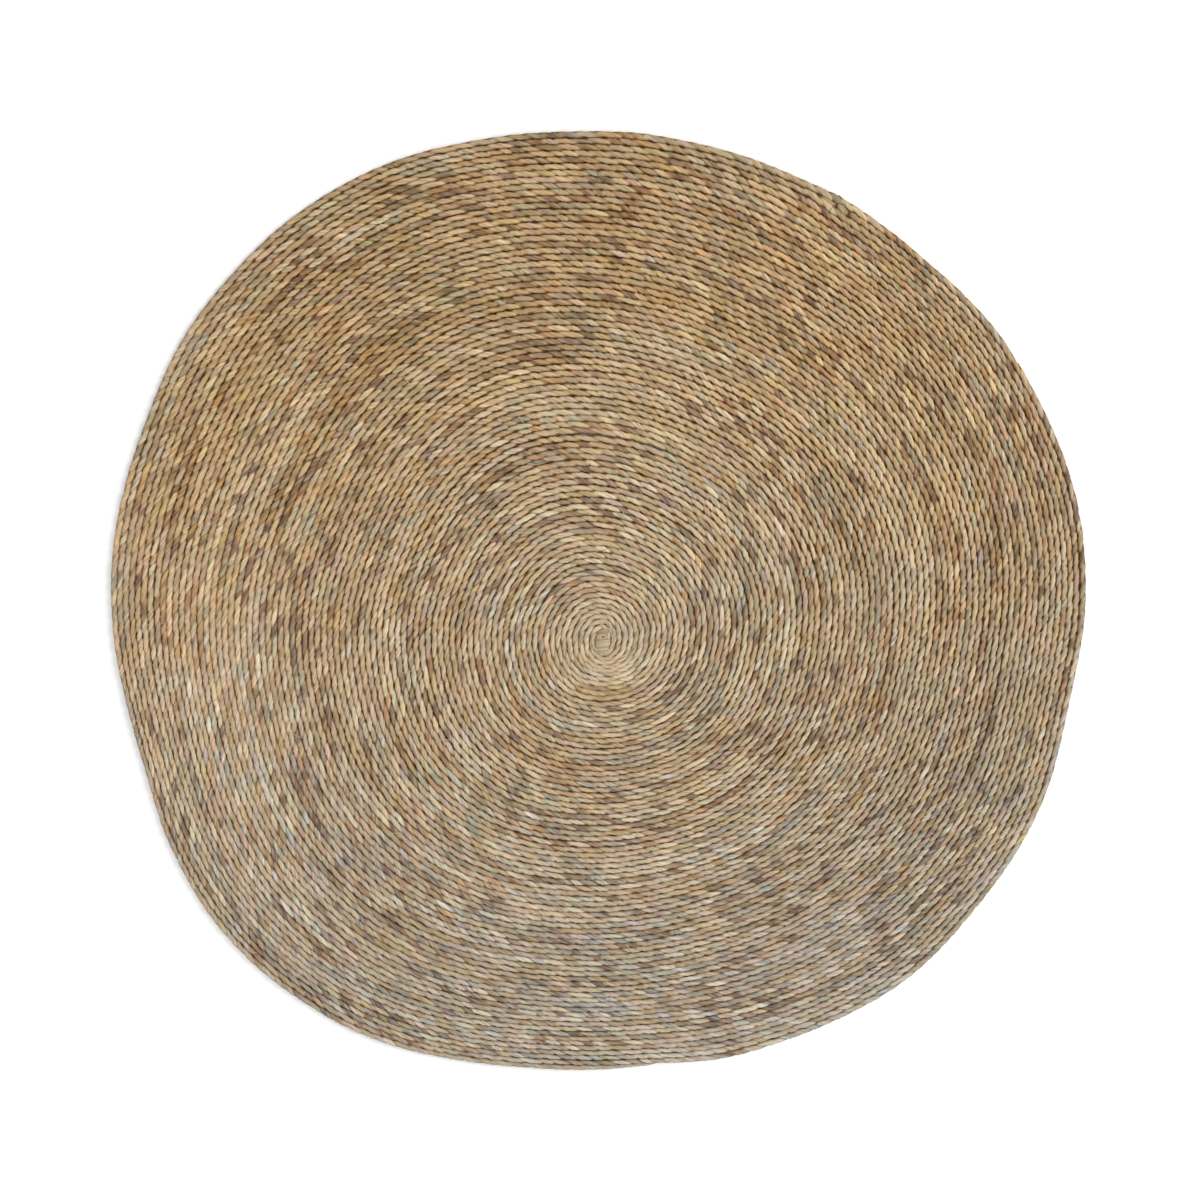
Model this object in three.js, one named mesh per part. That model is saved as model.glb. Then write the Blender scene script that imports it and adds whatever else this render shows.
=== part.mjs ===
// A round floor mat of twisted seagrass rope, lying flat.
// Two lengths of rope lie side by side and wind out from the middle in one flat spiral, each turn
// sewn to the last one out of sight. The mat is one solid: its ropes show as round ribs on top.
// Millimetres, +Z up. The underside is flat on z = 0, under the middle of the outline's box.
// Angles are counted anticlockwise from +X, seen from above, about the middle of the coil.

import * as THREE from 'three';

// Driving dimensions
const meanRadius = 500;      // from the middle of the coil to the rim
const turns = 41;            // turns of the pair of ropes
const crestHeight = 6.4;     // top of a rope over the floor
const grooveHeight = 4.2;    // bottom of the groove between two ropes over the floor
const rimHeight = 3.2;       // the outermost rope reaches furthest at this height
const footInset = 1.6;       // the foot of the outermost rope lies this far inside its reach
const chordSag = 1.4;        // how far a facet's chord may lie inside its arc
const fewestSides = 8;       // facets in the innermost turn
const rimPull = 3;           // how quickly the rim's waves fade towards the middle

// The rope packs more tightly at the start: a turn's place is this cubic of its share of the turns.
const packing = { first: 0.92, second: 0.16, third: -0.08 };

// Hand winding leaves the outline uneven. A row for each wave round the rim: how many times it
// goes up and down on the way round, how far it swings, and the angle that turns it.
const rimWaves = [
  { count: 1, swing: 20.4, turn: -118 },
  { count: 2, swing: 5.3, turn: 6 },
  { count: 3, swing: 5.3, turn: 23 },
  { count: 4, swing: 6.8, turn: -170 },
  { count: 5, swing: 2.8, turn: -85 },
  { count: 6, swing: 0.7, turn: 17 },
  { count: 7, swing: 1.5, turn: -128 },
  { count: 9, swing: 0.6, turn: -115 },
  { count: 11, swing: 0.8, turn: -139 },
];

// The turns between middle and rim wander a little too, most at two thirds of the way out.
const turnWaves = [
  { count: 2, swing: 2.5, turn: -105 },
  { count: 3, swing: 2.3, turn: 38 },
  { count: 4, swing: 2.7, turn: -60 },
  { count: 5, swing: 2.2, turn: 151 },
];

// Soft ridges where the mat has been rolled and handled. They follow the turns. A row for each:
// its place out from the middle as a share, the angles it runs between, half width and height.
const ridges = [
  { name: 'left rim roll', share: 0.94, from: 128, to: 196, halfWidth: 20, height: 3.0 },
  { name: 'lower left rim roll', share: 0.88, from: 200, to: 256, halfWidth: 24, height: 3.0 },
  { name: 'left swell', share: 0.61, from: 118, to: 200, halfWidth: 26, height: 2.4 },
  { name: 'upper swell', share: 0.86, from: 28, to: 118, halfWidth: 34, height: 2.4 },
  { name: 'right swell', share: 0.86, from: -48, to: 18, halfWidth: 30, height: 1.8 },
  { name: 'middle swell', share: 0.28, from: -20, to: 200, halfWidth: 44, height: 1.6 },
  { name: 'parted turns', share: 0.43, from: 64, to: 120, halfWidth: 9, height: 1.5 },
];
const ridgeFade = 16;        // degrees over which a ridge comes up at its ends

const fullCircle = 2 * Math.PI;
const toRadians = Math.PI / 180;

function waveSum(waves, angle) {
  return waves.reduce((sum, w) => sum + w.swing * Math.cos(w.count * angle + w.turn * toRadians), 0);
}

// How far a point lies from the middle of the coil, from its share of the way out and its angle
function reach(share, angle) {
  const packed = meanRadius * share
    * (packing.first + packing.second * share + packing.third * share * share);
  const wander = 6.75 * share * share * (1 - share);   // 1 at two thirds of the way out
  return packed + waveSum(rimWaves, angle) * share ** rimPull + waveSum(turnWaves, angle) * wander;
}

function smoothStep(x) {
  const t = Math.min(1, Math.max(0, x));
  return t * t * (3 - 2 * t);
}

// Height that the ridges add at a place
function lift(share, angle) {
  const degrees = angle / toRadians;
  return ridges.reduce((sum, ridge) => {
    const middle = (ridge.from + ridge.to) / 2;
    const halfSpan = (ridge.to - ridge.from) / 2;
    const away = Math.abs(((degrees - middle + 540) % 360 + 360) % 360 - 180);
    const along = smoothStep((halfSpan - away) / ridgeFade + 0.5);
    const across = (share - ridge.share) * meanRadius / ridge.halfWidth;
    return sum + ridge.height * along * Math.exp(-across * across);
  }, 0);
}

// Four lines wind out together: crest and groove of one rope, then crest and groove of the other.
// A row is one rope's width. Over the last turn the four run together, where the ropes end.
const linesAbreast = 4;
const rowsPerTurn = 2;
const lastRow = rowsPerTurn * turns - 0.5;

function rowOf(line, turnsWound) {
  const lineLead = line * rowsPerTurn / linesAbreast;
  const toGo = turns - turnsWound;
  if (toGo >= 1) {
    return lineLead + rowsPerTurn * turnsWound;
  }
  return lastRow - toGo * (1.5 - lineLead);
}

// The middle of the coil lies off the middle of the outline's box by this much.
function outlineMiddle() {
  const box = new THREE.Box2();
  const steps = 720;
  for (let k = 0; k < steps; k += 1) {
    const angle = fullCircle * k / steps;
    const radius = reach(1, angle);
    box.expandByPoint(new THREE.Vector2(radius * Math.cos(angle), radius * Math.sin(angle)));
  }
  return box.getCenter(new THREE.Vector2());
}

// The mat's skin, as a list of points and a list of triangles
class Skin {
  constructor(origin) {
    this.origin = origin;
    this.points = [];
    this.triangles = [];
  }

  addPoint(radius, angle, height) {
    const x = radius * Math.cos(angle) - this.origin.x;
    const y = radius * Math.sin(angle) - this.origin.y;
    this.points.push(x, y, height);
    return this.points.length / 3 - 1;
  }

  // Fills between an inner and an outer line, always with the triangle that lags behind
  zip(inner, outer) {
    let i = 0;
    let j = 0;
    while (i < inner.length - 1 || j < outer.length - 1) {
      const innerNext = i < inner.length - 1 ? inner[i + 1].angle : Infinity;
      const outerNext = j < outer.length - 1 ? outer[j + 1].angle : Infinity;
      if (outerNext <= innerNext) {
        this.addTriangle(inner[i].id, outer[j].id, outer[j + 1].id);
        j += 1;
      } else {
        this.addTriangle(inner[i].id, outer[j].id, inner[i + 1].id);
        i += 1;
      }
    }
  }

  addTriangle(a, b, c) {
    if (a !== b && b !== c && c !== a) {
      this.triangles.push(a, b, c);
    }
  }

  geometry() {
    const result = new THREE.BufferGeometry();
    result.setAttribute('position', new THREE.Float32BufferAttribute(this.points, 3));
    result.setIndex(this.triangles);
    result.computeVertexNormals();
    return result;
  }
}

// Facets in a turn, so that none cuts deeper into its arc than the sag allows
function sidesOf(turn) {
  const radius = meanRadius * (turn + 1) / turns;
  return Math.max(fewestSides, Math.ceil(Math.PI * Math.sqrt(radius / (2 * chordSag))));
}

// One line's points over one turn, with both ends. The last turn of the last line is the rim.
function lineOverTurn(skin, line, turn, first) {
  const sides = sidesOf(turn);
  const isRim = turn === turns - 1 && line === linesAbreast - 1;
  const isCrest = line % 2 === 0;
  const list = [first];
  for (let k = 1; k <= sides; k += 1) {
    const turned = turn + k / sides;
    const angle = fullCircle * turned;
    const share = rowOf(line, turned) / lastRow;
    const bare = isRim ? rimHeight : (isCrest ? crestHeight : grooveHeight);
    list.push({ id: skin.addPoint(reach(share, angle), angle, bare + lift(share, angle)), angle });
  }
  return list;
}

function matGeometry() {
  const skin = new Skin(outlineMiddle());

  // Where each line starts, on the ray at angle 0
  const starts = [];
  for (let line = 0; line < linesAbreast; line += 1) {
    const share = rowOf(line, 0) / lastRow;
    const bare = line % 2 === 0 ? crestHeight : grooveHeight;
    starts.push({ id: skin.addPoint(reach(share, 0), 0, bare + lift(share, 0)), angle: 0 });
  }

  // wound[line][turn] is that line's points over that turn
  const wound = starts.map(() => []);
  for (let turn = 0; turn < turns; turn += 1) {
    for (let line = 0; line < linesAbreast; line += 1) {
      const first = turn === 0 ? starts[line] : wound[line][turn - 1].at(-1);
      wound[line].push(lineOverTurn(skin, line, turn, first));
    }
  }

  // All four lines end in the rim, one turn back
  const rim = wound[linesAbreast - 1][turns - 1];
  for (let line = 0; line < linesAbreast; line += 1) {
    const tail = wound[line][turns - 1];
    tail[tail.length - 1] = { id: rim[0].id, angle: tail.at(-1).angle };
  }

  for (let turn = 0; turn < turns; turn += 1) {
    for (let line = 0; line + 1 < linesAbreast; line += 1) {
      skin.zip(wound[line][turn], wound[line + 1][turn]);
    }
    if (turn + 1 < turns) {
      skin.zip(onTurnLater(wound[linesAbreast - 1][turn]), wound[0][turn + 1]);
    }
  }

  closeMiddle(skin, starts, wound[0][0]);
  closeUnderside(skin, rim);
  return skin.geometry();
}

// The same points, counted as one turn further round, to be zipped to the next turn
function onTurnLater(list) {
  return list.map((point) => ({ id: point.id, angle: point.angle + fullCircle }));
}

// The first turn of the first line closes in a fan over the middle
function closeMiddle(skin, starts, firstTurn) {
  const centre = starts[0].id;
  for (let k = 1; k < firstTurn.length - 2; k += 1) {
    skin.addTriangle(centre, firstTurn[k].id, firstTurn[k + 1].id);
  }
  const apex = firstTurn.at(-2).id;
  const seam = [...starts.map((point) => point.id), firstTurn.at(-1).id];
  for (let k = 1; k < seam.length; k += 1) {
    skin.addTriangle(apex, seam[k], seam[k - 1]);
  }
}

// The foot of the rim on the floor, and the flat underside as a fan
function closeUnderside(skin, rim) {
  const foot = rim.slice(0, -1).map((point) => {
    const radius = reach(1, point.angle) - footInset;
    return { id: skin.addPoint(radius, point.angle, 0), angle: point.angle };
  });
  foot.push({ id: foot[0].id, angle: rim.at(-1).angle });
  skin.zip(rim, foot);
  const below = skin.addPoint(0, 0, 0);
  for (let k = 0; k + 1 < foot.length; k += 1) {
    skin.addTriangle(below, foot[k + 1].id, foot[k].id);
  }
}

const seagrass = new THREE.MeshStandardMaterial({
  name: 'seagrass',
  color: new THREE.Color(0xa18b70),
  roughness: 0.82,
  metalness: 0,
});

const mat = new THREE.Mesh(matGeometry(), seagrass);
mat.name = 'mat';

const seagrassMat = new THREE.Group();
seagrassMat.name = 'seagrass_mat';
seagrassMat.add(mat);

export default seagrassMat;
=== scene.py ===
import math

import bmesh
import bpy
import numpy as np
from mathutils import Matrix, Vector


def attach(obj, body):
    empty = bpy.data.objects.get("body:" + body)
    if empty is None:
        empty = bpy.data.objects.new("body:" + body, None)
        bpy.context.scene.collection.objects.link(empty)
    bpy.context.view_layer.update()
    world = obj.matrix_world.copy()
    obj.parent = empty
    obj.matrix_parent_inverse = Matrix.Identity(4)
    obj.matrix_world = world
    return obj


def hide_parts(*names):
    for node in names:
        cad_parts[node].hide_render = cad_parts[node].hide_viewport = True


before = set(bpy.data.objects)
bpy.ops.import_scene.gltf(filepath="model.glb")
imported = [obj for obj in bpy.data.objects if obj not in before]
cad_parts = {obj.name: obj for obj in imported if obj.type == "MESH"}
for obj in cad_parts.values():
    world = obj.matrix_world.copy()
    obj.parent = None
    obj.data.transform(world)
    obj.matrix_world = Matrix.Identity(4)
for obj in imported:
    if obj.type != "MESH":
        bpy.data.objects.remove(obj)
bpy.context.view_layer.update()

# A round floor mat of two-ply seagrass rope. One length of rope is folded in the middle and both
# halves wind out side by side, anticlockwise seen from above. Metres, +Z up, +Y to the photo's top.
# Angles are counted anticlockwise from +X about the middle of the coil.

mm = 0.001
print("seagrass mat: frame loaded")


# Camera and light

camera = {
    "place": (0.0026, 0.2291, 1.7270),
    "tilt": -7,           # degrees off straight down: it stands a little to the photo's top
    "lens": 50.68,
    "sensor": 36,
    "sees": (0.05, 50),   # from and to how far away
}


def makeCamera():
    data = bpy.data.cameras.new("camera")
    data.lens = camera["lens"]
    data.sensor_width = camera["sensor"]
    data.clip_start, data.clip_end = camera["sees"]
    eye = bpy.data.objects.new("camera", data)
    eye.location = camera["place"]
    eye.rotation_euler = (math.radians(camera["tilt"]), 0, 0)
    bpy.context.scene.collection.objects.link(eye)
    bpy.context.scene.camera = eye


# name, the direction it comes from and its height over the floor in degrees, metres away, size in
# metres, watts, colour
softBoxes = [
    ("key", 24, 40, 3.2, 1.6, 61, (1.0, 0.97, 0.93)),
    ("fill", 250, 55, 3.2, 2.4, 22, (0.93, 0.96, 1.0)),
]
room = {"colour": (1.0, 1.0, 1.0), "strength": 0.73}
floorLook = {"half": 6.0, "drop": 0.6 * mm, "colour": (0.93, 0.93, 0.925), "roughness": 0.6}


def makeLights():
    for name, around, above, away, size, watts, colour in softBoxes:
        data = bpy.data.lights.new(name, "AREA")
        data.shape = "DISK"
        data.size = size
        data.energy = watts
        data.color = colour
        lamp = bpy.data.objects.new(name, data)
        turn = math.radians(around)
        rise = math.radians(above)
        level = math.cos(rise)
        back = Vector((math.cos(turn) * level, math.sin(turn) * level, math.sin(rise)))
        lamp.location = back * away
        lamp.rotation_mode = "QUATERNION"
        lamp.rotation_quaternion = back.to_track_quat("Z", "Y")
        bpy.context.scene.collection.objects.link(lamp)
    world = bpy.data.worlds.new("room")
    world.use_nodes = True
    sky = world.node_tree.nodes["Background"]
    sky.inputs["Color"].default_value = (*room["colour"], 1)
    sky.inputs["Strength"].default_value = room["strength"]
    bpy.context.scene.world = world
    bpy.context.scene.view_settings.view_transform = "Standard"


def makeFloor():
    shape = bmesh.new()
    bmesh.ops.create_grid(shape, x_segments=1, y_segments=1, size=floorLook["half"])
    bmesh.ops.translate(shape, verts=shape.verts, vec=(0, 0, -floorLook["drop"]))
    mesh = bpy.data.meshes.new("floor")
    shape.to_mesh(mesh)
    shape.free()
    ground = bpy.data.objects.new("floor", mesh)
    bpy.context.scene.collection.objects.link(ground)
    paint = bpy.data.materials.new("floor paint")
    paint.use_nodes = True
    shader = paint.node_tree.nodes["Principled BSDF"]
    shader.inputs["Base Color"].default_value = (*floorLook["colour"], 1)
    shader.inputs["Roughness"].default_value = floorLook["roughness"]
    mesh.materials.append(paint)


makeCamera()
makeLights()
makeFloor()
print("seagrass mat: camera, light and floor made")


# The coil. Its sizes are those of the mat's solid, but here the rim's waves reach further in.

coil = {
    "meanRadius": 500 * mm,
    "lastRow": 81.5,                  # rows of rope from the middle to the rim, where a turn is two
    "packing": (0.92, 0.16, -0.08),   # the rope packs more tightly at the start
    "rimPull": 1.2,                   # how quickly the rim's waves fade towards the middle
    "solidPull": 3,                   # and on the solid
    "bulgePull": 16,                  # and how quickly the small bulges at the rim do
    "turnWander": 6.75,               # gives the turns' own waves their full swing two thirds out
    "crestHeight": 6.4 * mm,
    "fade": 16,                       # degrees over which what follows the turns comes and goes
}

# how many times a wave goes round the rim, its swing in mm, the angle that turns it
rimWaves = [
    (1, 20.4, -118), (2, 5.3, 6), (3, 5.3, 23), (4, 6.8, -170), (5, 2.8, -85),
    (6, 0.7, 17), (7, 1.5, -128), (9, 0.6, -115), (11, 0.8, -139),
]
# and the same for the turns between the middle and the rim
turnWaves = [(2, 2.5, -105), (3, 2.3, 38), (4, 2.7, -60), (5, 2.2, 151)]

# Where the outermost turns bulge or dip a little: the angle, half width in degrees, mm outwards
bulges = [
    (2, 6, 2.0), (36, 6, 2.2), (50, 5, -2.4), (61, 4, 1.8), (87, 5, 1.4), (105, 4, -0.9),
    (135, 6, -1.4), (154, 6, -1.7), (194, 7, -1.4), (231, 4, -1.2), (286, 5, 1.6), (311, 5, 1.2),
    (324, 6, -1.4), (340, 7, 2.0),
]

# Soft ridges, as on the solid: name, share of the way out, from and to in degrees, half width in mm,
# height in mm
ridges = [
    ("left rim roll", 0.94, 128, 196, 20, 3.0),
    ("lower left rim roll", 0.88, 200, 256, 24, 3.0),
    ("left swell", 0.61, 118, 200, 26, 2.4),
    ("upper swell", 0.86, 28, 118, 34, 2.4),
    ("right swell", 0.86, -48, 18, 30, 1.8),
    ("middle swell", 0.28, -20, 200, 44, 1.6),
    ("parted turns", 0.43, 64, 120, 9, 1.5),
]


def waveSum(waves, angle):
    return sum(swing * mm * np.cos(count * angle + math.radians(turn)) for count, swing, turn in waves)


def smoothStep(x):
    t = np.clip(x, 0, 1)
    return t * t * (3 - 2 * t)


# How far a point lies from the middle of the coil, from its row and its angle
def reach(row, angle):
    share = row / coil["lastRow"]
    first, second, third = coil["packing"]
    packed = coil["meanRadius"] * share * (first + second * share + third * share**2)
    wander = coil["turnWander"] * share**2 * (1 - share)
    rim = waveSum(rimWaves, angle) * share ** coil["rimPull"]
    for around, halfWidth, amount in bulges:
        away = (np.degrees(angle) - around + 180) % 360 - 180
        rim += amount * mm * np.exp(-((away / halfWidth) ** 2)) * share ** coil["bulgePull"]
    return packed + rim + waveSum(turnWaves, angle) * wander


# A row's share of the way out as the tables give it, which is the share on the solid
def solidShare(row, angle):
    share = row / coil["lastRow"]
    wave = waveSum(rimWaves, angle) / coil["meanRadius"]
    return share + wave * (share ** coil["rimPull"] - share ** coil["solidPull"])


# What the lines of a table add up to at a place. Each follows the turns and fades at its ends.
def alongTurns(table, row, angle, fade=coil["fade"]):
    total = np.zeros_like(row)
    share = solidShare(row, angle)
    for name, place, start, end, halfWidth, amount in table:
        away = np.abs((np.degrees(angle) - (start + end) / 2 + 540) % 360 - 180)
        along = smoothStep(((end - start) / 2 - away) / fade + 0.5)
        across = (share - place) * coil["meanRadius"] / (halfWidth * mm)
        total += amount * along * np.exp(-across * across)
    return total


# The middle of the coil lies off the middle of the outline's box by this much
def outlineMiddle():
    angle = np.linspace(0, 2 * math.pi, 720, endpoint=False)   # every half degree
    rim = coil["meanRadius"] + waveSum(rimWaves, angle)
    x = rim * np.cos(angle)
    y = rim * np.sin(angle)
    return np.array([(x.min() + x.max()) / 2, (y.min() + y.max()) / 2])


# Where the two ropes end. The first ends under the outermost turn, in a fat strand, and the second
# thins out at the rim, which steps in there.
ends = {
    "tucked": 61.5,            # the angle at which the first rope ends
    "thinned": 278,            # and the second
    "turnsWound": 40,          # whole turns that come before these angles
    "closing": 1.2,            # degrees in which the rows inside close up at the tucked end
    "closingMore": 2.6,        # and this much more for each row further in
    "closingLead": 0.3,        # the part of it that comes before the end
    "thinClosing": 13,         # degrees in which they close up at the thinned end
    "thinLead": 5,             # and how many of these come before it
    "tail": 3.2,               # degrees that the tucked rope goes on into the space as it closes
    "tailLeast": 0.1,          # the tail is at least this part of a row wide
    "steadyRow": 16,           # this many rows in, the coil no longer feels the ends
    "rimIn": 0.2,              # the rope's foot spreads, so its middle lies further in, in rows
    "fat": 0.34,               # the fat strand is so much thicker
    "fatPlace": 30 * mm,       # and lies this far from the tail's tip
    "fatLength": 5 * mm,
    "fatBlade": 0.6,           # the blade that shows on it, and so far to both sides
    "fatBladeReach": 30 * mm,
    "sunk": 2.8 * mm,          # on both sides of its fat strand the tucked rope goes down out of sight
    "sunkAway": 7.5 * mm,
    "sunkLength": 2.6 * mm,
    "sunkShade": 0.95,          # and gets so much of the painted shade of the grooves
    "thin": 0.5,               # the second rope thins out to this part of its width
    "thinLength": 90 * mm,
    "tip": 16 * mm,            # the length over which each end closes, down to this part of its width
    "tipWidth": 0.1,
}


# The outermost row at an angle, counted without the closing up behind the ends
def outermostRow(angle):
    turned = (np.degrees(angle) - ends["tucked"]) % 360
    return 2 * ends["turnsWound"] + 1 + (ends["tucked"] + turned) / 180


# The row at which a point really lies. Where a rope has ended, the rows inside it move out into its
# place.
def settledRow(row, angle):
    degrees = np.degrees(angle)
    turned = (degrees - ends["tucked"]) % 360
    toTucked = (turned + 180) % 360 - 180
    toThinned = turned - (ends["thinned"] - ends["tucked"])
    outermost = outermostRow(angle)
    thinned = smoothStep((toThinned + ends["thinLead"]) / ends["thinClosing"])
    closed = np.where(toTucked < 0, 1 + thinned, 0)
    depth = np.maximum(outermost - row - closed, 0)
    closing = ends["closing"] + ends["closingMore"] * depth
    closed = closed + smoothStep(toTucked / closing + ends["closingLead"])
    outside = np.maximum(outermost - row - closed, 0)
    # the middle of the outermost row is half a row inside the rim
    packed = coil["lastRow"] - 0.5 - ends["rimIn"] - outside
    near = smoothStep(1 - outside / ends["steadyRow"])
    return row + near * (packed - row)


# The rope

rope = {
    "strandLength": 15.9 * mm,     # of rope for each strand that shows on top
    "strandSpread": 0.24,          # how much the strands' lengths differ, and at most
    "strandLimits": (0.6, 1.5),
    "stepsPerStrand": 6,
    "plyCentre": 0.14,             # the section is two plies pressed together, in parts of its width
    "plyRadius": 0.38,
    "plyPoints": 4,                # of a ply, not counting the two in the waist between the plies
    "linger": 0.4,                 # how much slower the rope turns where a ply is on top
    "widthOnTop": 0.98,            # of the row, with one ply over the other
    "widthBeside": 1.08,           # and with the plies side by side
    "heightOnTop": 1.04,
    "heightBeside": 0.86,
    "below": 0.6,                  # the rope is flatter and wider where it lies on the floor
    "spread": 1.22,
    "spreadSteep": 3,              # it is widest from a third of its thickness under its middle
    "mostFill": 1.35,              # a rope swells at most so much to fill a space beside it
    "leastFill": 0.8,              # and is squeezed at most to this
    "evenRows": 4,                 # the first rows do neither
    "partingEdge": 1.5 * mm,       # how near to a parting its two sides start to move apart
    "pathStep": 0.5,               # degrees from point to point when the rope's path is worked out
    "lineStep": 0.5 * mm,          # and the length from point to point of its line
    "foldPoints": 24,
    "foldStretch": 6.8 * mm,       # the fold in the middle is longer than wide, and lies a little low
    "foldShift": 3 * mm,
    "foldRows": 6,
    "foldSmooth": 2.2 * mm,        # its line is smoothed over this length
    "foldReach": 60 * mm,          # and so far along the rope from its middle
    "sway": 0.2 * mm,              # it wanders sideways, with a new aim after each length
    "swayLength": 50 * mm,
    "bounce": 0.32 * mm,           # lies higher here and there
    "bounceLength": 30 * mm,
    "plySwell": 0.15,              # and each of its plies swells
    "swellLength": 24 * mm,
    "pieces": 6,
    "girth": 17 * mm,              # round the rope, for the map of its surface
    "mapMargin": 0.04,
    "seed": 17,
}

# Rows that have parted: name, share, from and to in degrees, half width in mm, gap in mm
partings = [
    ("upper gap", 0.415, 66, 118, 14, 1.2),
    ("short upper left gap", 0.44, 128, 140, 10, 0.9),
    ("left crease", 0.70, 136, 177, 12, 0.8),
    ("lower left trough", 0.745, 204, 245, 12, 0.7),
]


# How far out the rows on both sides of one half's rows lie. Past a rope's end the next row but one
# is the neighbour, and past the rim there is none.
def neighbours(row, angle, second):
    own = lastWound(second) / math.pi
    other = lastWound(not second) / math.pi
    within = np.where(row - 1 > other, row - 2, row - 1)
    beyond = np.where(row + 1 > other, row + 2, row + 1)
    alone = (row + 1 > other) & (row + 2 > own)
    inner = reach(settledRow(within, angle), angle)
    outer = reach(settledRow(beyond, angle), angle)
    return inner, outer, alone


# How far a half has wound in all when it ends. The second starts half a turn later.
def lastWound(second):
    return math.radians((ends["thinned"] + 180 if second else ends["tucked"]) + 360 * ends["turnsWound"])


# One half of the rope from the middle outwards. The first starts over the middle, the second below.
# The first goes on past its end in a thin tail, in the space that the turns leave as they close up.
# Each point has its place, the row's width, the row, with a minus on the first half, and the row at
# which it really lies.
def halfPath(second):
    tail = 0 if second else math.radians(ends["tail"])
    wound = np.arange(math.pi / 2, lastWound(second) + tail, math.radians(rope["pathStep"]))
    row = wound / math.pi
    angle = wound - math.pi if second else wound
    settled = settledRow(row, angle)
    radius = reach(settled, angle)
    nominal = reach(settled + 0.5, angle) - reach(settled - 0.5, angle)
    inner, outer, alone = neighbours(row, angle, second)
    outer = np.where(alone, radius + nominal, outer)
    width = np.clip((outer - inner) / 2, rope["leastFill"] * nominal, rope["mostFill"] * nominal)
    width = np.where(row < rope["evenRows"], nominal, width)
    if not second:
        inTail = wound > lastWound(second)
        left = np.maximum(outer - inner - nominal, ends["tailLeast"] * nominal)
        width = np.where(inTail, left, width)
        radius = np.where(inTail, (outer + inner) / 2, radius)
    for parting in partings:
        share = parting[1]
        beyond = radius - reach(np.full_like(angle, share * coil["lastRow"]), angle)
        gap = alongTurns([parting], settled, angle) * mm
        radius = radius + gap / 2 * np.tanh(beyond / rope["partingEdge"])
    inFold = np.exp(-((row / rope["foldRows"]) ** 2))
    x = radius * np.cos(angle)
    y = (radius + rope["foldStretch"] * inFold) * np.sin(angle) - rope["foldShift"] * inFold
    z = rope["below"] * coil["crestHeight"] / 2 + mm * alongTurns(ridges, settled, angle)
    return np.stack([x, y, z, width, row if second else -row, settled], 1)


# Values along a line, each averaged with those around it under a bell curve
def smoothed(values, halfSpan, spacing):
    steps = int(halfSpan * 3 / spacing)
    bell = np.exp(-0.5 * (np.arange(-steps, steps + 1) * spacing / halfSpan) ** 2)
    return np.convolve(np.pad(values, steps, mode="edge"), bell / bell.sum(), mode="valid")


# The whole rope's line: in along the first half, through the fold in the middle, out along the second
def ropeLine():
    inward = halfPath(False)[::-1]
    outward = halfPath(True)
    share = np.linspace(0, 1, rope["foldPoints"])[1:-1, None]
    fold = inward[-1] * (1 - share) + outward[0] * share
    line = np.concatenate([inward, fold, outward])
    gone = np.concatenate([[0], np.cumsum(np.linalg.norm(np.diff(line[:, :2], axis=0), axis=1))])
    spacing = rope["lineStep"]
    along = np.arange(0, gone[-1], spacing)
    line = np.stack([np.interp(along, gone, column) for column in line.T], 1)
    middleAt = along[np.argmin(np.abs(line[:, 4]))]
    inFold = smoothStep(2 - np.abs(along - middleAt) / rope["foldReach"])
    for k in range(2):
        line[:, k] += inFold * (smoothed(line[:, k], rope["foldSmooth"], spacing) - line[:, k])
    return along, line


# Smooth random wander along the rope, with a new aim at each of these lengths
def wander(draw, along, length):
    aims = draw.normal(0, 1, int(along[-1] / length) + 4)
    place = along / length
    cell = place.astype(int)
    part = smoothStep(place - cell)
    return aims[cell] * (1 - part) + aims[cell + 1] * part


# Both ends of the rope close, one after a fat strand and the other after it has thinned out
def endWidth(along):
    left = along[-1] - along
    fat = 1 + ends["fat"] * np.exp(-(((along - ends["fatPlace"]) / ends["fatLength"]) ** 2))
    thin = ends["thin"] + (1 - ends["thin"]) * smoothStep(left / ends["thinLength"])
    near = np.clip(np.minimum(along, left) / ends["tip"], 0, 1)
    return fat * thin * (ends["tipWidth"] + (1 - ends["tipWidth"]) * np.sin(near * math.pi / 2))


# How far the tucked rope goes down at a place, from 0 to 1
def sunkAt(along):
    away = np.abs(along - ends["fatPlace"]) - ends["sunkAway"]
    return np.exp(-((away / ends["sunkLength"]) ** 2))


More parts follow.
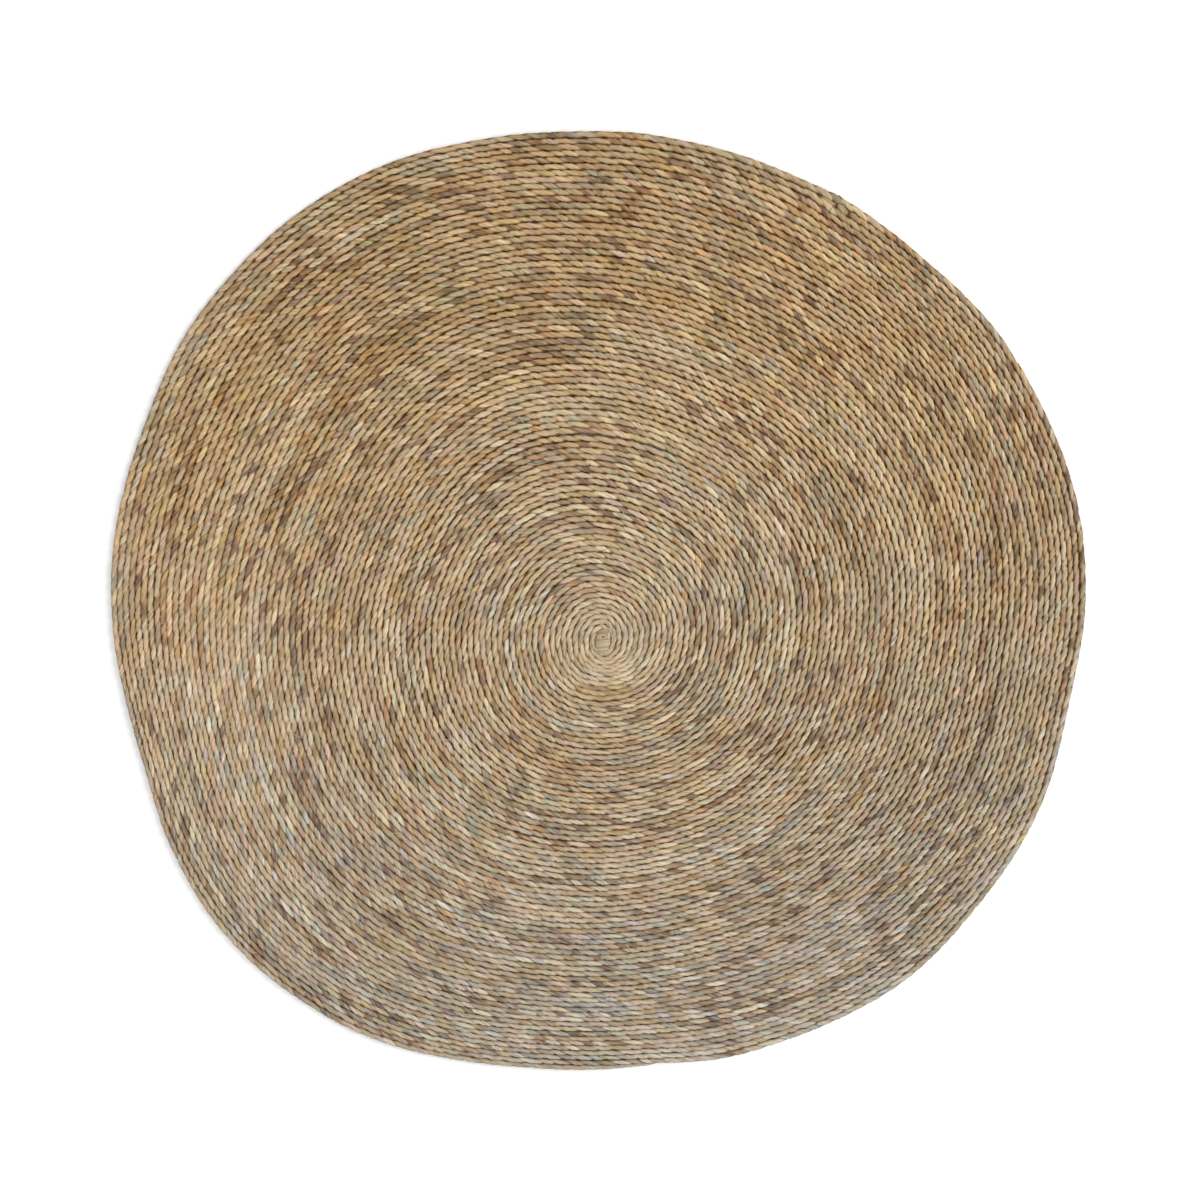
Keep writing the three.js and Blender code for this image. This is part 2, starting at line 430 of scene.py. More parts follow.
# A section of the rope at every step
def ropeRings():
    draw = np.random.default_rng(rope["seed"])
    along, line = ropeLine()
    count = int(along[-1] / rope["strandLength"])
    strands = np.clip(1 + rope["strandSpread"] * draw.normal(0, 1, count), *rope["strandLimits"])
    edges = np.concatenate([[0], np.cumsum(strands)]) * along[-1] / strands.sum()
    turned = np.arange(count * rope["stepsPerStrand"] + 1) / rope["stepsPerStrand"]
    at = np.interp(turned, np.arange(count + 1), edges)
    x, y, z, width, row, settled = [np.interp(at, along, column) for column in line.T]
    tangent = np.stack([np.gradient(x), np.gradient(y)], 1)
    tangent /= np.linalg.norm(tangent, axis=1)[:, None]
    sidewards = np.stack([-tangent[:, 1], tangent[:, 0]], 1)
    out = np.hypot(x, y)
    angle = np.arctan2(y, x)
    sway = rope["sway"] * wander(draw, at, rope["swayLength"])
    bounce = rope["bounce"] * np.abs(wander(draw, at, rope["bounceLength"]))
    # where the rope thins out it stays against the row inside it
    ownWidth = width * endWidth(at)
    sway += np.where(row > 0, (width - ownWidth) / 2, 0)
    sunk = sunkAt(at)
    middle = outlineMiddle()
    x += sidewards[:, 0] * sway - middle[0]
    y += sidewards[:, 1] * sway - middle[1]
    centre = np.stack([x, y, z + bounce - ends["sunk"] * sunk], 1)
    twist = turned + rope["linger"] * np.sin(2 * math.pi * turned) / (2 * math.pi)
    rings = {
        "along": at, "turned": turned, "twist": twist, "centre": centre, "sidewards": sidewards,
        "row": row, "rowWidth": width, "width": ownWidth, "out": out, "sunk": sunk,
        "swell": [1 + rope["plySwell"] * np.abs(wander(draw, at, rope["swellLength"])) for ply in range(2)],
    }
    rings["blade"], rings["tint"] = bladesAlong(draw, rings)
    rings["weather"] = toneAndLightAlong(draw, centre[:, :2], settled, angle)
    # how much of the painted shade in the grooves is taken away
    rings["closed"] = alongTurns(paleGrooves, settled, angle, castFade)
    rings["closed"] += grass["grooveWander"] * wander(draw, at, grass["wanderLength"])
    return rings


# Grass. Blades are twisted into each ply one after another, each with a colour of its own.

grass = {
    "patchWaves": 60,         # soft patches of lighter, warmer and greener grass, made of waves
    "patchLength": (14 * mm, 140 * mm),
    "patchLight": 0.022,
    "patchWarm": 0.026,
    "patchGreen": 0.009,
    "warmRed": 0.62,          # warmer grass has so much more red for each part less blue
    "newBlade": 0.5,          # how often a strand shows another blade than the ply's last strand
    "strandLight": 0.085,     # every strand is also a little lighter, warmer or greener than its blade
    "strandWarm": 0.032,
    "strandGreen": 0.032,
    "lightLimits": (-3, 2.5),     # at most so many times that
    "greenLimits": (-2, 2),
    "paleRows": 8,            # in the first rows all grass is pale
    # where a blade's colour stands between 0 and 1, and the colour as a screen shows it
    "blades": [
        (0.00, (190, 173, 145)), (0.25, (181, 161, 132)), (0.50, (174, 152, 122)), (0.66, (176, 154, 120)),
        (0.75, (172, 148, 112)), (0.785, (166, 134, 95)), (0.81, (152, 126, 97)), (0.835, (132, 108, 85)),
        (0.85, (112, 91, 73)), (0.87, (144, 126, 106)), (0.91, (160, 144, 122)), (0.96, (158, 149, 125)),
        (0.985, (173, 163, 141)), (1.00, (188, 176, 156)),
    ],
    "blend": 0.11,            # a blade's colour moves up to so far from its place, in short soft streaks
    "blendAlong": 40,
    "blendAcross": 420,
    "groove": (101, 67, 12),  # painted shade between the ropes, and from and to which height it gives way to the blades
    "grooveFrom": 0.08,
    "grooveTo": 0.92,
    "grooveWander": 0.13,     # along the turns the painted shade in the grooves is darker here and paler there
    "wanderLength": 130 * mm,
    "streakDepth": 0.26,      # fibres are so much lighter and darker, where their noise is in this range
    "streakRange": (0.35, 0.65),
    "streaksAlong": 55,
    "streaksAcross": 1000,
    "grainRound": 1.8 * mm,   # radius of the ply that the fibres run along
    "roughness": (0.62, 0.86),
    "sheen": 0.3,
    "bump": 0.35,
    "bumpHeight": 0.25 * mm,
}

# Here and there a spot of other grass, or of wear, shows over a few neighbouring strands: how
# many spots, from and to how large, how many of the strands in one show it, and what it can be
spots = {
    "count": 400,
    "size": (5 * mm, 14 * mm),
    "hold": 0.7,
    "blades": (0.0, 0.04, 0.76, 0.78, 0.80, 0.82, 0.835, 0.85, 0.88, 0.91, 0.95, 1.0),
}

# Painted light and shade over the whole mat: darker at the top and right, paler at the bottom and left. It
# is also warmer at the top and greyer at the bottom, and the dull middle is the grass's own colour. Name,
# share, from and to in degrees, half width in mm, how much lighter and how much warmer. These come and go
# over castFade degrees.
castFade = 80
paintedLightAndTones = [
    ("dark right and top", 0.86, -48, 160, 175, -0.115, 0),
    ("dark top right rim", 0.97, 0, 60, 45, -0.05, 0),
    ("pale bottom", 0.42, -150, -30, 120, 0.035, 0),
    ("pale left", 0.82, 158, 214, 55, 0.09, -0.03),
    ("dull middle", 0.0, -220, 220, 28, -0.04, 0),
    ("pale bottom rim", 0.92, -110, -40, 50, 0.05, 0),
    ("warm top", 0.84, 20, 178, 185, 0, 0.14),
    ("cool bottom", 0.92, -150, -25, 235, 0, -0.155),
]

# Where it is pinker, as a part less green
pinks = [
    ("bottom", 0.80, -170, -30, 220, 0.018),
    ("left", 0.75, 140, 220, 120, 0.007),
]

# Paler, darker, warmer and greyer single turns and short stretches of them. The dark lines in the left
# crease, the lower left trough, under the upper gap and along the lower right rim are painted shade.
turnTonesAndShade = [
    ("left crease", 0.72, 120, 168, 9, -0.16, 0.02),
    ("left crease, lower end", 0.70, 160, 178, 6, -0.14, 0),
    ("lower left trough", 0.705, 198, 222, 8, -0.12, 0),
    ("lower left trough, lower end", 0.755, 212, 246, 9, -0.15, 0.02),
    ("dark top ring", 0.70, 52, 128, 14, -0.07, 0.05),
    ("warm left of the top ring", 0.71, 122, 158, 12, 0, 0.05),
    ("dark inner top ring", 0.58, 68, 116, 9, -0.08, 0),
    ("warm inner top ring", 0.55, 44, 128, 8, 0, 0.05),
    ("grey ring between", 0.625, 66, 132, 7, 0, -0.05),
    ("dark stretch on the right", 0.57, 2, 40, 15, -0.12, 0),
    ("short dark arc on the right", 0.34, -8, 26, 10, -0.07, 0),
    ("dark under the upper gap", 0.40, 84, 118, 8, -0.07, 0),
    ("pale upper left", 0.50, 128, 170, 26, 0.045, 0),
    ("dark upper left rim", 0.89, 126, 164, 20, -0.08, 0),
    ("warm upper left rim", 0.88, 138, 166, 22, 0, 0.06),
    ("dark top rim", 0.985, 15, 160, 11, -0.06, -0.03),
    ("grey bottom rim", 0.97, -100, -25, 16, 0, -0.06),
    ("dark lower left rim", 0.99, 180, 272, 8, -0.06, 0),
    ("dull lower right", 0.84, -70, -44, 14, -0.03, -0.05),
    ("dark lower right rim", 1.0, -60, 14, 7, -0.10, -0.02),
    ("dark left ring", 0.58, 176, 210, 10, -0.06, 0.06),
    ("dark bottom ring", 0.655, -116, -78, 8, -0.07, -0.03),
    ("pale lower left", 0.86, 178, 226, 24, 0.05, 0),
    ("warm lower left", 0.72, 206, 232, 12, 0, 0.05),
    ("dark inner left", 0.22, 192, 216, 8, -0.06, 0),
    ("dark inner right", 0.11, -8, 52, 12, -0.06, 0),
    ("pale inner lower right", 0.08, -52, -8, 18, 0.07, 0),
    ("warm right ring", 0.74, -6, 22, 10, 0, 0.05),
]

# Where the turns are packed so tightly that the painted shade in the grooves between them is paler, and how
# much
paleGrooves = [
    ("first turns", 0.0, -220, 220, 28, 0.10),
    ("middle", 0.0, -220, 220, 160, 0.26),
    ("left", 0.80, 150, 215, 120, 0.40),
    ("bottom", 0.80, -150, -35, 220, 0.25),
]


# Which blade each ply shows at every step, and the strand's own tint. A strand keeps its blade while
# it is on top, and the next one starts out of sight.
def bladesAlong(draw, rings):
    blades = []
    tints = []
    spotAt, spotSize = spotPlaces(draw)
    spotBlade = draw.choice(spots["blades"], spots["count"])
    for ply in range(2):
        strand = np.floor((rings["turned"] - 1.5 + ply) / 2).astype(int) + 1
        count = strand[-1] + 1
        blade = draw.uniform(0, 1, count)[np.cumsum(draw.uniform(0, 1, count) < grass["newBlade"]) - 1]
        first = np.searchsorted(strand, np.arange(count))
        place = rings["centre"][first, :2]
        for k in range(spots["count"]):
            away = np.linalg.norm(place - spotAt[k], axis=1) / spotSize[k]
            taken = draw.uniform(0, 1, count) < spots["hold"] * np.exp(-away * away)
            blade = np.where(taken, spotBlade[k], blade)
        blade = np.where(np.abs(rings["row"][first]) < grass["paleRows"], blade / 2, blade)
        onFat = np.abs(rings["along"][first] - ends["fatPlace"]) < ends["fatBladeReach"]
        blade = np.where(onFat, ends["fatBlade"], blade)
        light = 1 + grass["strandLight"] * np.clip(draw.normal(0, 1, count), *grass["lightLimits"])
        warm = grass["strandWarm"] * draw.normal(0, 1, count)
        green = grass["strandGreen"] * np.clip(draw.normal(0, 1, count), *grass["greenLimits"])
        tint = np.stack([1 + grass["warmRed"] * warm, 1 + green, 1 - warm], 1) * light[:, None]
        blades.append(blade[strand])
        tints.append(tint[strand])
    return blades, tints


def spotPlaces(draw):
    around = draw.uniform(0, 2 * math.pi, spots["count"])
    out = coil["meanRadius"] * np.sqrt(draw.uniform(0, 1, spots["count"]))
    place = np.stack([out * np.cos(around), out * np.sin(around)], 1)
    return place, draw.uniform(*spots["size"], spots["count"])


# Red, green and blue of the grass's tone and of the painted light and shade at every step
def toneAndLightAlong(draw, place, row, angle):
    lighter, warmer = [
        alongTurns([line[:5] + line[k:k + 1] for line in turnTonesAndShade], row, angle)
        + alongTurns([line[:5] + line[k:k + 1] for line in paintedLightAndTones], row, angle, castFade)
        for k in (5, 6)
    ]
    lighter += grass["patchLight"] * patches(draw, place)
    warmer += grass["patchWarm"] * patches(draw, place)
    greener = grass["patchGreen"] * patches(draw, place) - alongTurns(pinks, row, angle, castFade)
    red = 1 + lighter + grass["warmRed"] * warmer
    return np.stack([red, 1 + lighter + greener, 1 + lighter - warmer], 1)


# A smooth random field with a spread of 1
def patches(draw, place):
    count = grass["patchWaves"]
    low, high = np.log(grass["patchLength"])
    total = np.zeros(len(place))
    for k in range(count):
        around = draw.uniform(0, 2 * math.pi)
        length = math.exp(draw.uniform(low, high))
        phase = draw.uniform(0, 2 * math.pi)
        along = place[:, 0] * math.cos(around) + place[:, 1] * math.sin(around)
        total += np.cos(2 * math.pi * along / length + phase)
    return total * math.sqrt(2 / count)


# The section of the rope: point 0 is in the waist over the plies, then come the first ply's points,
# the waist below and the second ply's points. The sweep turns the first ply from the rope's left
# up and over.
def sectionPoints():
    centre = rope["plyCentre"]
    radius = rope["plyRadius"]
    waist = math.sqrt(radius * radius - centre * centre)
    span = 2 * (math.pi - math.atan2(waist, centre))
    points = []
    for sideways in (-1, 1):
        points.append((0, -sideways * waist))
        outward = math.pi if sideways < 0 else 0
        for k in range(rope["plyPoints"]):
            turn = outward + span * ((k + 1) / (rope["plyPoints"] + 1) - 0.5)
            points.append((sideways * centre + radius * math.cos(turn), radius * math.sin(turn)))
    return points


def sectionCurve(name, points):
    data = bpy.data.curves.new(name, "CURVE")
    data.dimensions = "2D"
    spline = data.splines.new("POLY")
    spline.points.add(len(points) - 1)
    for point, (x, y) in zip(spline.points, points):
        point.co = (x, y, 0, 1)
    spline.use_cyclic_u = True
    shape = bpy.data.objects.new(name, data)
    bpy.context.scene.collection.objects.link(shape)
    return shape


# A section swept along lines, each with its places, the section's size there and how far it is turned
def swept(name, lines, section):
    data = bpy.data.curves.new(name, "CURVE")
    data.dimensions = "3D"
    data.twist_mode = "Z_UP"
    data.bevel_mode = "OBJECT"
    data.bevel_object = section
    for places, sizes, turns in lines:
        spline = data.splines.new("POLY")
        spline.points.add(len(places) - 1)
        places = np.column_stack([places, np.ones_like(sizes)])
        spline.points.foreach_set("co", places.astype(np.float32).ravel())
        spline.points.foreach_set("radius", sizes.astype(np.float32))
        spline.points.foreach_set("tilt", turns.astype(np.float32))
    holder = bpy.data.objects.new(name + " line", data)
    bpy.context.scene.collection.objects.link(holder)
    graph = bpy.context.evaluated_depsgraph_get()
    mesh = bpy.data.meshes.new_from_object(holder.evaluated_get(graph))
    bpy.data.objects.remove(holder)
    bpy.data.curves.remove(data)
    bpy.data.objects.remove(section)
    mesh.name = name
    return mesh


# Rows press on each other: every section is as wide as its row, and a ply that comes up on top
# spreads over it. Each ply also swells and thins as the grass in it does.
def pressPlies(mesh, rings, picked):
    points = 2 * (rope["plyPoints"] + 1)
    place = np.empty(len(mesh.vertices) * 3, np.float32)
    mesh.vertices.foreach_get("co", place)
    place = place.reshape(-1, points, 3).astype(float)
    centre = rings["centre"][picked][:, None]
    sidewards = rings["sidewards"][picked][:, None]
    across = ((place[..., :2] - centre[..., :2]) * sidewards).sum(2)
    above = place[..., 2] - centre[..., 2]
    width = rings["width"][picked][:, None]
    turned = rings["twist"][picked][:, None] * math.pi
    newAcross = across.copy()
    newAbove = above.copy()
    for ply in range(2):
        aim = turned + math.pi * ply
        own = slice(ply * points // 2 + 1, (ply + 1) * points // 2)
        plyAcross = rope["plyCentre"] * np.cos(aim) * width
        plyAbove = rope["plyCentre"] * np.sin(aim) * width
        swell = rings["swell"][ply][picked][:, None]
        newAcross[:, own] = plyAcross + swell * (across[:, own] - plyAcross)
        newAbove[:, own] = plyAbove + swell * (above[:, own] - plyAbove)
    onTop = np.sin(turned) ** 2
    wide = rope["widthBeside"] + (rope["widthOnTop"] - rope["widthBeside"]) * onTop
    high = rope["heightBeside"] + (rope["heightOnTop"] - rope["heightBeside"]) * onTop
    thick = coil["crestHeight"] * width / rings["rowWidth"][picked][:, None]
    newAcross *= wide * width / 2 / np.abs(newAcross).max(1)[:, None]
    newAbove *= high * thick / 2 / np.abs(newAbove).max(1)[:, None]
    # crest: how far up on the rope a point lies, from 0 at its middle height to 1 at top and bottom. Lower
    # values get more painted shade between the ropes. It is lowered where the tucked rope sinks, for
    # painted shade there, and raised where the grooves' painted shade is paler.
    crest = np.abs(newAbove) / (thick / 2) * (1 - ends["sunkShade"] * rings["sunk"][picked][:, None])
    crest += rings["closed"][picked][:, None] * (1 - crest)
    newAcross *= 1 + (rope["spread"] - 1) * smoothStep(-rope["spreadSteep"] * newAbove / thick)
    newAbove = np.where(newAbove < 0, rope["below"] * newAbove, newAbove)
    place[..., :2] += (newAcross - across)[..., None] * sidewards
    place[..., 2] = np.maximum(centre[..., 2] + newAbove, 0)
    mesh.vertices.foreach_set("co", place.astype(np.float32).ravel())
    return crest


def addLayer(mesh, name, kind, domain, values):
    layer = mesh.attributes.new(name, kind, domain)
    field = "vector" if kind == "FLOAT_VECTOR" else "value"
    layer.data.foreach_set(field, values.astype(np.float32).ravel())


# What the grass material reads: the blade that a ply shows, the strand's tint, how far up it lies, which
# places the painted shade between the ropes, the tone and painted light and shade over the mat, and a place
# along and round the ply for its fibres
def markGrass(mesh, rings, picked, crest):
    points = crest.shape[1]
    corners = np.empty(len(mesh.loops), np.int32)
    mesh.loops.foreach_get("vertex_index", corners)
    ring, point = np.divmod(corners.reshape(-1, 4), points)
    # a face's column is that of its first point, and the last column closes the section
    column = np.where(point.max(1) - point.min(1) == 1, point.min(1), points - 1)[:, None]
    ply = column // (points // 2)
    for name, kind in (("blade", "FLOAT"), ("tint", "FLOAT_VECTOR")):
        values = np.stack([rings[name][k][picked] for k in range(2)])
        addLayer(mesh, name, kind, "CORNER", values[ply, ring])
    addLayer(mesh, "crest", "FLOAT", "POINT", crest)
    addLayer(mesh, "weather", "FLOAT_VECTOR", "POINT", np.repeat(rings["weather"][picked], points, axis=0))
    around = 2 * math.pi * np.arange(points) / points
    grain = np.empty((len(picked), points, 3))
    grain[..., 0] = rings["along"][picked][:, None]
    grain[..., 1] = grass["grainRound"] * np.cos(around)
    grain[..., 2] = grass["grainRound"] * np.sin(around)
    addLayer(mesh, "grain", "FLOAT_VECTOR", "POINT", grain)
    steps = np.abs(np.diff(rings["along"][picked]))
    unroll(mesh, ring, (column + (point != column)) / points, len(picked) * float(np.median(steps)))


# The rope unrolled into rows that fill a map, for the baked model
def unroll(mesh, ring, around, length):
    while mesh.uv_layers:
        mesh.uv_layers.remove(mesh.uv_layers[0])
    rows = max(1, round(math.sqrt(length / rope["girth"])))
    perRow = math.ceil((ring.max() + 1) / rows)
    row = ring.min(1)[:, None] // perRow
    margin = rope["mapMargin"]
    place = np.stack([ring / perRow - row, (row + margin + (1 - 2 * margin) * around) / rows], 2)
    mesh.uv_layers.new(name="OFBake").uv.foreach_set("vector", place.astype(np.float32).ravel())


# Closes the rope's ends and the cuts between pieces, and gives the surface's area
def closeEnds(mesh):
    shape = bmesh.new()
    shape.from_mesh(mesh)
    made = bmesh.ops.holes_fill(shape, edges=[edge for edge in shape.edges if edge.is_boundary])
    for face in made["faces"]:
        face.smooth = False
    bmesh.ops.recalc_face_normals(shape, faces=shape.faces)
    bmesh.ops.triangulate(shape, faces=shape.faces, quad_method="SHORT_EDGE")
    shape.to_mesh(mesh)
    area = sum(face.calc_area() for face in shape.faces)
    shape.free()
    return area


def ropeMaterial():
    paint = bpy.data.materials.new("twisted seagrass")
    paint.use_nodes = True
    tree = paint.node_tree
    shader = tree.nodes["Principled BSDF"]

    def add(kind, **settings):
        node = tree.nodes.new(kind)
        for name, value in settings.items():
            setattr(node, name, value)
        return node

    def read(name, output="Fac"):
        return add("ShaderNodeAttribute", attribute_name=name).outputs[output]

    def mapped(value, low, high, toLow, toHigh, **settings):
        node = add("ShaderNodeMapRange", **settings)
        for k, number in enumerate((low, high, toLow, toHigh)):
            node.inputs[k + 1].default_value = number
        tree.links.new(value, node.inputs[0])
        return node.outputs[0]

    def multiplied(first, second):
        node = add("ShaderNodeVectorMath", operation="MULTIPLY")
        tree.links.new(first, node.inputs[0])
        tree.links.new(second, node.inputs[1])
        return node.outputs["Vector"]

    def noise(along, across, detail):
        stretch = add("ShaderNodeMapping")
        stretch.inputs["Scale"].default_value = (along, across, across)
        tree.links.new(read("grain", "Vector"), stretch.inputs["Vector"])
        node = add("ShaderNodeTexNoise")
        node.inputs["Scale"].default_value = 1
        node.inputs["Detail"].default_value = detail
        tree.links.new(stretch.outputs["Vector"], node.inputs["Vector"])
        return node.outputs["Fac"]

    # blades run along each ply and blend a little into each other
    blade = add("ShaderNodeMath", operation="ADD")
    tree.links.new(read("blade"), blade.inputs[0])
    blend = noise(grass["blendAlong"], grass["blendAcross"], 0)
    tree.links.new(mapped(blend, 0, 1, -grass["blend"], grass["blend"]), blade.inputs[1])
    ramp = add("ShaderNodeValToRGB")
    stops = ramp.color_ramp.elements
    while len(stops) < len(grass["blades"]):
        stops.new(0.5)
    for stop, (place, colour) in zip(stops, grass["blades"]):
        stop.position = place
        stop.color = fromScreen(colour)
    tree.links.new(blade.outputs[0], ramp.inputs["Fac"])

    fibre = noise(grass["streaksAlong"], grass["streaksAcross"], 2)
    depth = grass["streakDepth"]
    streak = mapped(fibre, *grass["streakRange"], 1 - depth, 1 + depth)
    tinted = multiplied(ramp.outputs["Color"], read("tint", "Vector"))
    streaked = add("ShaderNodeVectorMath", operation="SCALE")
    tree.links.new(tinted, streaked.inputs[0])
    tree.links.new(streak, streaked.inputs["Scale"])
    # painted shade between the ropes: low on a rope, where its crest value is small, the dark groove shade
    # takes over from the blade's colour
    low, high = grass["grooveFrom"], grass["grooveTo"]
    inGroove = mapped(read("crest"), low, high, 0, 1, interpolation_type="SMOOTHSTEP")
    # sockets 6 and 7 of this node are its two colours, and 2 of its outputs is the mixed one
    coloured = add("ShaderNodeMix", data_type="RGBA")
    coloured.inputs[6].default_value = fromScreen(grass["groove"])
    tree.links.new(inGroove, coloured.inputs[0])
    tree.links.new(streaked.outputs["Vector"], coloured.inputs[7])
    # then the grass's tone and the painted light and shade over the mat
    tonedAndLit = multiplied(coloured.outputs[2], read("weather", "Vector"))
    tree.links.new(tonedAndLit, shader.inputs["Base Color"])

    tree.links.new(mapped(fibre, 0, 1, *grass["roughness"]), shader.inputs["Roughness"])
    bump = add("ShaderNodeBump")
    bump.inputs["Strength"].default_value = grass["bump"]
    bump.inputs["Distance"].default_value = grass["bumpHeight"]
    tree.links.new(fibre, bump.inputs["Height"])
    tree.links.new(bump.outputs["Normal"], shader.inputs["Normal"])
    shader.inputs["Specular IOR Level"].default_value = grass["sheen"]
    return paint


# A colour as a screen shows it, in the numbers that a shader takes
def fromScreen(colour):
    return tuple(((v / 255 + 0.055) / 1.055) ** 2.4 for v in colour) + (1,)


# The mat, in rings of turns from the middle outwards, so that no piece has too many faces
def makeTurns(rings, paint):
    last = len(rings["row"]) - 1
    cuts = np.quantile(np.abs(rings["row"]), np.linspace(0, 1, rope["pieces"] + 1)[1:-1])
    inner = [int(np.searchsorted(rings["row"], -cut)) for cut in cuts] + [0]
    outer = [int(np.searchsorted(rings["row"], cut)) for cut in cuts] + [last]
    for k in range(rope["pieces"]):
        if k == 0:
            stretches = [(inner[0], outer[0])]
        else:
            stretches = [(inner[k], inner[k - 1]), (outer[k - 1], outer[k])]
        lines = []
        for start, end in stretches:
            here = slice(start, end + 1)
            turns = rings["twist"][here] % 2 * math.pi
            lines.append((rings["centre"][here], rings["width"][here], turns))
        picked = np.concatenate([np.arange(start, end + 1) for start, end in stretches])
        mesh = swept("matTurns%d" % (k + 1), lines, sectionCurve("rope section", sectionPoints()))
        crest = pressPlies(mesh, rings, picked)
        markGrass(mesh, rings, picked, crest)
        piece, area = finishPiece(mesh, paint)


# A finished piece with its ends closed, and its surface's area
def finishPiece(mesh, paint):
    area = closeEnds(mesh)
    mesh.materials.append(paint)
    piece = bpy.data.objects.new(mesh.name, mesh)
    bpy.context.scene.collection.objects.link(piece)
    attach(piece, "root")
    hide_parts("mat")
    return piece, area


# Loose strands, each with its places, half thicknesses, blade and shade
def makeStrands(name, strands, section, paint):
    lines = [(places, sizes, np.zeros_like(sizes)) for places, sizes, blade, shade in strands]
    mesh = swept(name, lines, sectionCurve(name + " section", section))
    steps = [np.linalg.norm(np.diff(line[0], axis=0, prepend=line[0][:1]), axis=1) for line in lines]
    blades = np.concatenate([np.full(len(places), blade) for places, sizes, blade, shade in strands])
    tints = np.concatenate([np.full((len(places), 3), shade) for places, sizes, blade, shade in strands])
    rings = {
        "along": np.cumsum(np.concatenate(steps)),
        "blade": [blades, blades],
        "tint": [tints, tints],
        "weather": np.ones((len(blades), 3)),
    }
    markGrass(mesh, rings, np.arange(len(blades)), np.ones((len(blades), len(section))))
    return finishPiece(mesh, paint)[0]


# A round section, or a flat one where it is pressed
def roundSection(points, pressed=1):
    around = [2 * math.pi * k / points for k in range(points)]
    return [(math.cos(turn), pressed * math.sin(turn)) for turn in around]


# The middle of the coil: pale blades bind the fold of the rope side by side, a rolled end shows on
# top of them, and a strand lies along each side. Places are about the middle of the coil.
core = {
    "top": 9.6 * mm,          # along Y, where the first blade goes across
    "pitch": 2.6 * mm,        # from each blade to the next
    "count": 11,
    "halfWidth": 8.4 * mm,
    "taper": 0.38,            # narrower towards both ends
    "archFrom": 10,           # degrees of a half circle that are left out at each end of a blade
    "archPoints": 14,
    "base": 1.4 * mm,
    "rise": 5.4 * mm,
    "slant": 0.10,
    "bladeHalfWidth": 1.75 * mm,
    "bladePressed": 0.32,     # a blade's thickness is this part of its width
    "roll": (-0.9 * mm, 1.4 * mm),
    "rollSize": (5.2 * mm, 2.7 * mm),
    "rollTurns": 1.7,
    "rollCloses": 0.6,        # it winds inwards by this part of its size, and down by the drop
    "rollDrop": 0.8 * mm,
    "rollStrand": 0.85 * mm,
    "rollPoints": 26,
    "hollow": 1.5 * mm,       # the blades under the rolled end lie so much lower
    "hollowReach": 3.2 * mm,
    # the strands along the sides: half width and half length in mm, from and to in degrees
    "sides": [(9.8, 13.6, 67, -95), (10.8, 14.5, 168, 236)],
    "sideMiddle": -1.5 * mm,
    "sideHeight": 5.4 * mm,
    "sideDrop": 1.6 * mm,     # at their ends
    "sideStrand": 0.9 * mm,
    "sidePoints": 18,
    "sectionPoints": 8,
    "blades": (0.05, 0.16, 0.3, 0.45),
    "shades": (0.78, 0.90),
    "looseShade": 1.17,       # the loose strands are so much paler
    "ringShade": 0.72,        # and painted shade darkens what shows inside the rolled end
    "topShade": 0.7,          # and the first blade, at the top edge of the middle
    "seed": 5,
}


def makeCore(paint):
    draw = np.random.default_rng(core["seed"])
    middle = np.append(-outlineMiddle(), 0)

    def strand(x, y, z, size, shade=core["looseShade"]):
        places = np.stack([x, y, z], 1) + middle
        shade *= draw.uniform(*core["shades"])
        return places, np.full(len(x), size), draw.choice(core["blades"]), shade

    binding = [strand(*coreArch(k), core["bladeHalfWidth"], coreShade(k)) for k in range(core["count"])]
    turn = np.linspace(0, 2 * math.pi * core["rollTurns"], core["rollPoints"])
    closing = 1 - core["rollCloses"] * turn / turn[-1]
    x = core["roll"][0] + core["rollSize"][0] * closing * np.cos(turn)
    y = core["roll"][1] + core["rollSize"][1] * closing * np.sin(turn)
    z = core["base"] + core["rise"] - core["rollDrop"] * turn / turn[-1]
    loose = [strand(x, y, z, core["rollStrand"])]
    share = np.linspace(-1, 1, core["sidePoints"])
    for halfWidth, halfLength, start, end in core["sides"]:
        turn = np.radians((start + end) / 2 + share * (end - start) / 2)
        x = halfWidth * mm * np.cos(turn)
        y = halfLength * mm * np.sin(turn) + core["sideMiddle"]
        loose.append(strand(x, y, core["sideHeight"] - core["sideDrop"] * share**4, core["sideStrand"]))
    flat = roundSection(core["sectionPoints"], core["bladePressed"])
    full = roundSection(core["sectionPoints"])
    return [
        makeStrands("coreBinding", binding, flat, paint),
        makeStrands("coreStrands", loose, full, paint),
    ]


# How pale a blade of the binding is, with painted shade inside the rolled end and on the first blade
def coreShade(k):
    fromRing = (core["top"] - k * core["pitch"] - core["roll"][1]) / core["rollSize"][1]
    return core["topShade"] if k == 0 else 1 - (1 - core["ringShade"]) * math.exp(-fromRing * fromRing)


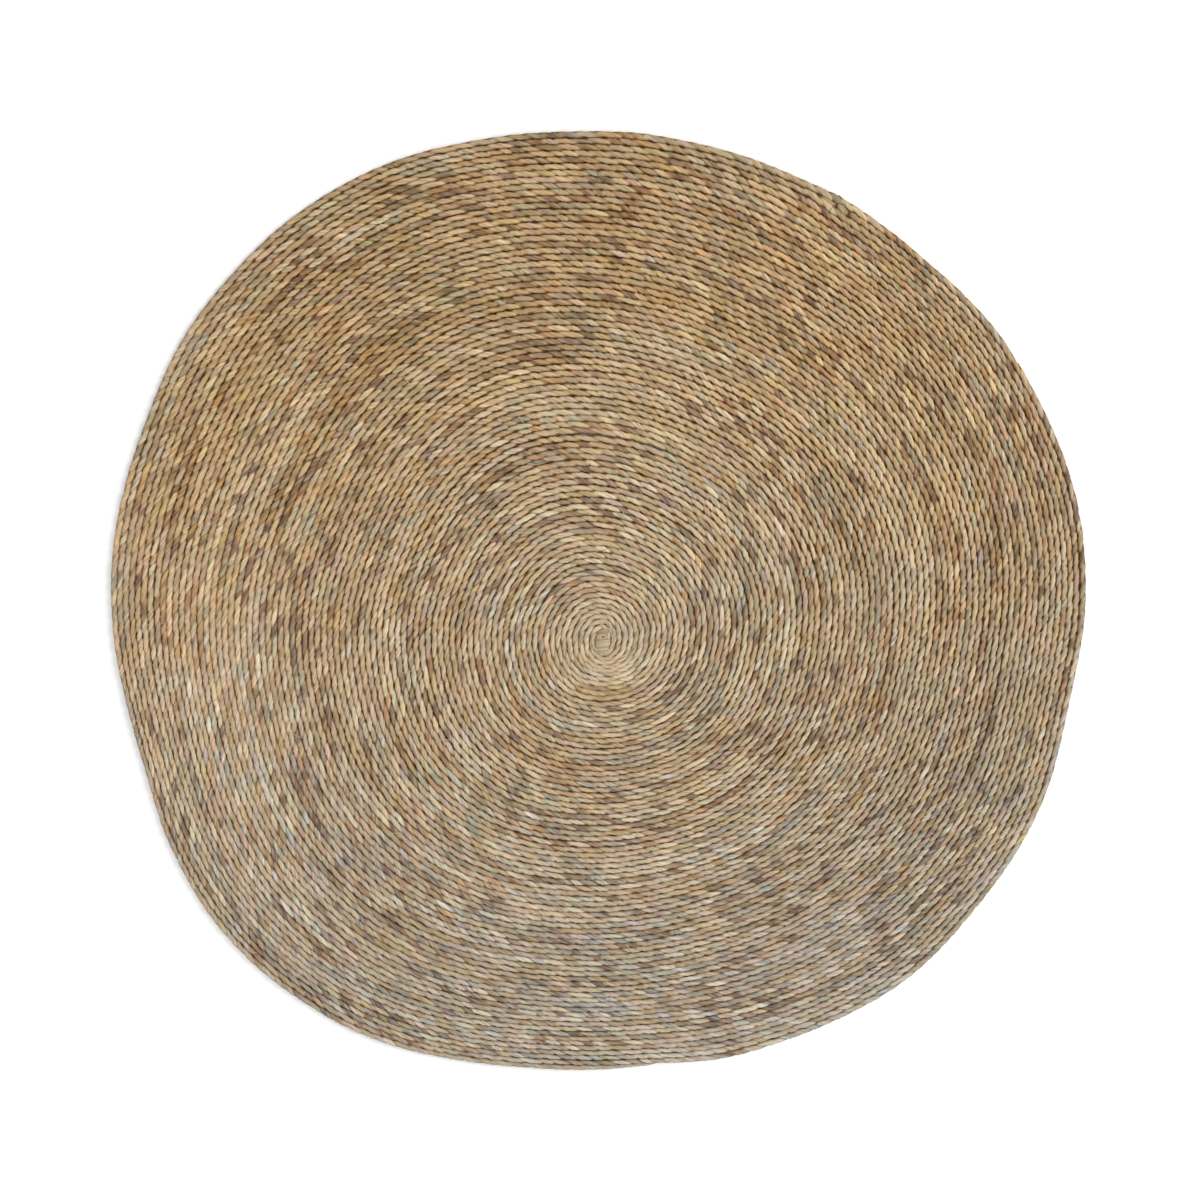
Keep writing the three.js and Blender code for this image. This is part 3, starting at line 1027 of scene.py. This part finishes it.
# One blade of the binding, over the fold from one side to the other
def coreArch(k):
    y = core["top"] - k * core["pitch"]
    halfLength = (core["count"] - 1) * core["pitch"] / 2
    narrow = 1 - core["taper"] * abs((core["top"] - y) / halfLength - 1) ** 3
    hollow = core["hollow"] * math.exp(-(((y - core["roll"][1]) / core["hollowReach"]) ** 2))
    turn = np.radians(np.linspace(core["archFrom"], 180 - core["archFrom"], core["archPoints"]))
    x = core["halfWidth"] * narrow * np.cos(turn)
    return x, y + core["slant"] * x, core["base"] + (core["rise"] * narrow - hollow) * np.sin(turn)


# Stray fibres lie across the strands here and there
fibres = {
    "count": 170,
    "length": (5 * mm, 13 * mm),
    "size": (0.16 * mm, 0.30 * mm),   # half thickness
    "points": 6,
    "sectionPoints": 4,
    "off": 50,                        # degrees off the rope's own direction, as a spread
    "bend": 0.35,
    "lift": 0.9 * mm,                 # how much higher the middle of a fibre lies than its ends
    "blades": (0.0, 0.05, 0.1, 0.98, 0.815),
    "shades": (0.95, 1.2),
    "seed": 23,
}


def makeFibres(rings, paint):
    draw = np.random.default_rng(fibres["seed"])
    share = np.linspace(-0.5, 0.5, fibres["points"])[:, None]
    strands = []
    for k in range(fibres["count"]):
        at = draw.integers(0, len(rings["along"]))
        side = rings["sidewards"][at]
        off = math.radians(draw.normal(90, fibres["off"]))
        aim = np.array([side[0] * math.cos(off) - side[1] * math.sin(off),
                        side[0] * math.sin(off) + side[1] * math.cos(off)])
        length = draw.uniform(*fibres["length"])
        bend = draw.normal(0, fibres["bend"])
        across = np.array([-aim[1], aim[0]])
        flat = rings["centre"][at, :2] + length * (share * aim + bend * share**2 * across)
        height = rings["centre"][at, 2] + coil["crestHeight"] / 2 + fibres["lift"] * (1 - 4 * share**2)
        sizes = np.full(len(share), draw.uniform(*fibres["size"]))
        blade = draw.choice(fibres["blades"])
        strands.append((np.hstack([flat, height]), sizes, blade, draw.uniform(*fibres["shades"])))
    return [makeStrands("strayFibres", strands, roundSection(fibres["sectionPoints"]), paint)]


rings = ropeRings()
print("seagrass mat: rope laid,", round(float(rings["along"][-1]), 1), "m long")
paint = ropeMaterial()
onFirst = makeCore(paint)
onLast = makeFibres(rings, paint)
print("seagrass mat: middle bound and stray fibres laid")
makeTurns(rings, paint)
